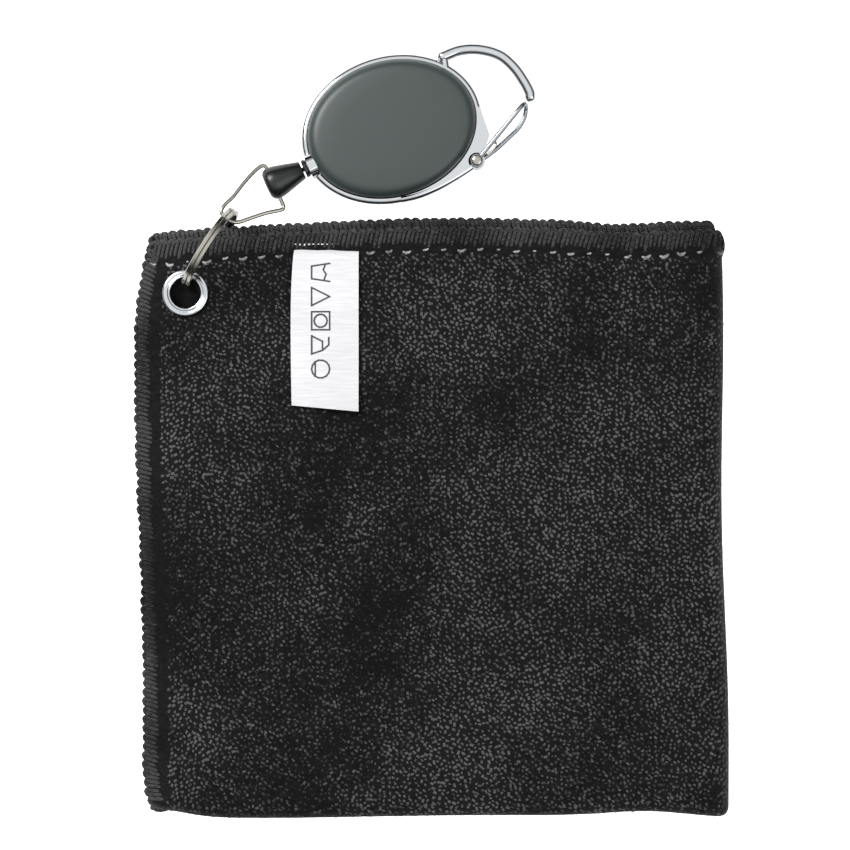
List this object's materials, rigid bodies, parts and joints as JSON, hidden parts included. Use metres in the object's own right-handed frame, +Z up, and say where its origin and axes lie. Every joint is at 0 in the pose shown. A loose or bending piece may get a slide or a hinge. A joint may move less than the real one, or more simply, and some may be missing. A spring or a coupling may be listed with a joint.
{
  "type": "golf towel with retractable reel",
  "caption": "Square fleece towel folded in quarters, hung by an eyelet, split ring and wire bail from a retractable reel with a carabiner.",
  "frame": {"origin": "on the surface the part lies on, under the middle of the whole part", "axes": "+Z up out of the folded towel's face, +Y from the towel towards the reel, +X towards the towel's folded side edge"},
  "size_m": [0.1544, 0.2032, 0.0251],
  "materials": {
    "cloth": "matt fleece pile",
    "thread": "matt thread",
    "satin": "satin ribbon",
    "chrome": "bright plated",
    "steel": "plated wire",
    "reel_plastic": "satin",
    "black_plastic": "smooth"
  },
  "bodies": {
    "reel": {"carabiner_frame": "chrome", "gate_pin": "steel", "gate_spring": "steel", "reel_front_cover": "reel_plastic", "reel_back_cover": "reel_plastic", "cord_nozzle": "black_plastic", "centre_post": "steel", "power_spring": "steel", "cord_run": "thread"},
    "gate": {"gate_wire": "chrome"},
    "drum": {"cord_drum": "black_plastic", "cord_winding": "thread"},
    "cord": {"pull_cord": "thread"},
    "cone": {"swivel_cone": "black_plastic"},
    "bail": {"wire_bail": "steel"},
    "ring": {"split_ring": "steel"},
    "towel": {"towel_cloth": "cloth", "overlock_hem": "thread", "eyelet": "chrome", "eyelet_washer": "chrome"},
    "label": {"care_label": "satin"}
  },
  "joints": [
    {"name": "gate_hinge", "type": "hinge", "parent": "reel", "child": "gate", "pos_m": [0.0105, 0.0705, 0.00525], "axis": [0, 0, 1], "range_deg": [0, 24], "stiffness_Nm_per_rad": 0.02, "springref_deg": -17.19},
    {"name": "cord_pull", "type": "slide", "parent": "reel", "child": "cord", "axis": [-0.91, -0.4147, 0], "range_m": [0, 0.6], "stiffness_N_per_m": 1, "springref_m": -0.5},
    {"name": "drum_spin", "type": "hinge", "parent": "reel", "child": "drum", "pos_m": [-0.012, 0.079, 0.00525], "axis": [0, 0, -1], "range_deg": [0, 3130]},
    {"name": "cone_swivel", "type": "hinge", "parent": "cord", "child": "cone", "pos_m": [-0.012, 0.079, 0.00525], "axis": [-0.91, -0.4147, 0], "range_deg": [-180, 180]},
    {"name": "bail_swing", "type": "hinge", "parent": "cone", "child": "bail", "pos_m": [-0.0433, 0.06474, 0.00525], "axis": [0.4147, -0.91, 0], "range_deg": [-60, 60]},
    {"name": "ring_swing", "type": "hinge", "parent": "bail", "child": "ring", "pos_m": [-0.05414, 0.05478, 0.0095], "axis": [0.8418, -0.5398, 0], "range_deg": [-20, 10]},
    {"name": "towel_turn", "type": "hinge", "parent": "ring", "child": "towel", "pos_m": [-0.05926, 0.04679, 0.01295], "axis": [0.8418, -0.5398, 0], "range_deg": [-15, 5]},
    {"name": "label_lift", "type": "hinge", "parent": "towel", "child": "label", "pos_m": [-0.0292, 0.0454, 0.0123], "axis": [-1, 0, 0], "range_deg": [0, 120]}
  ],
  "couplings": [
    {"joint": "drum_spin", "follows": "cord_pull", "rad_per_m": 90.909}
  ]
}
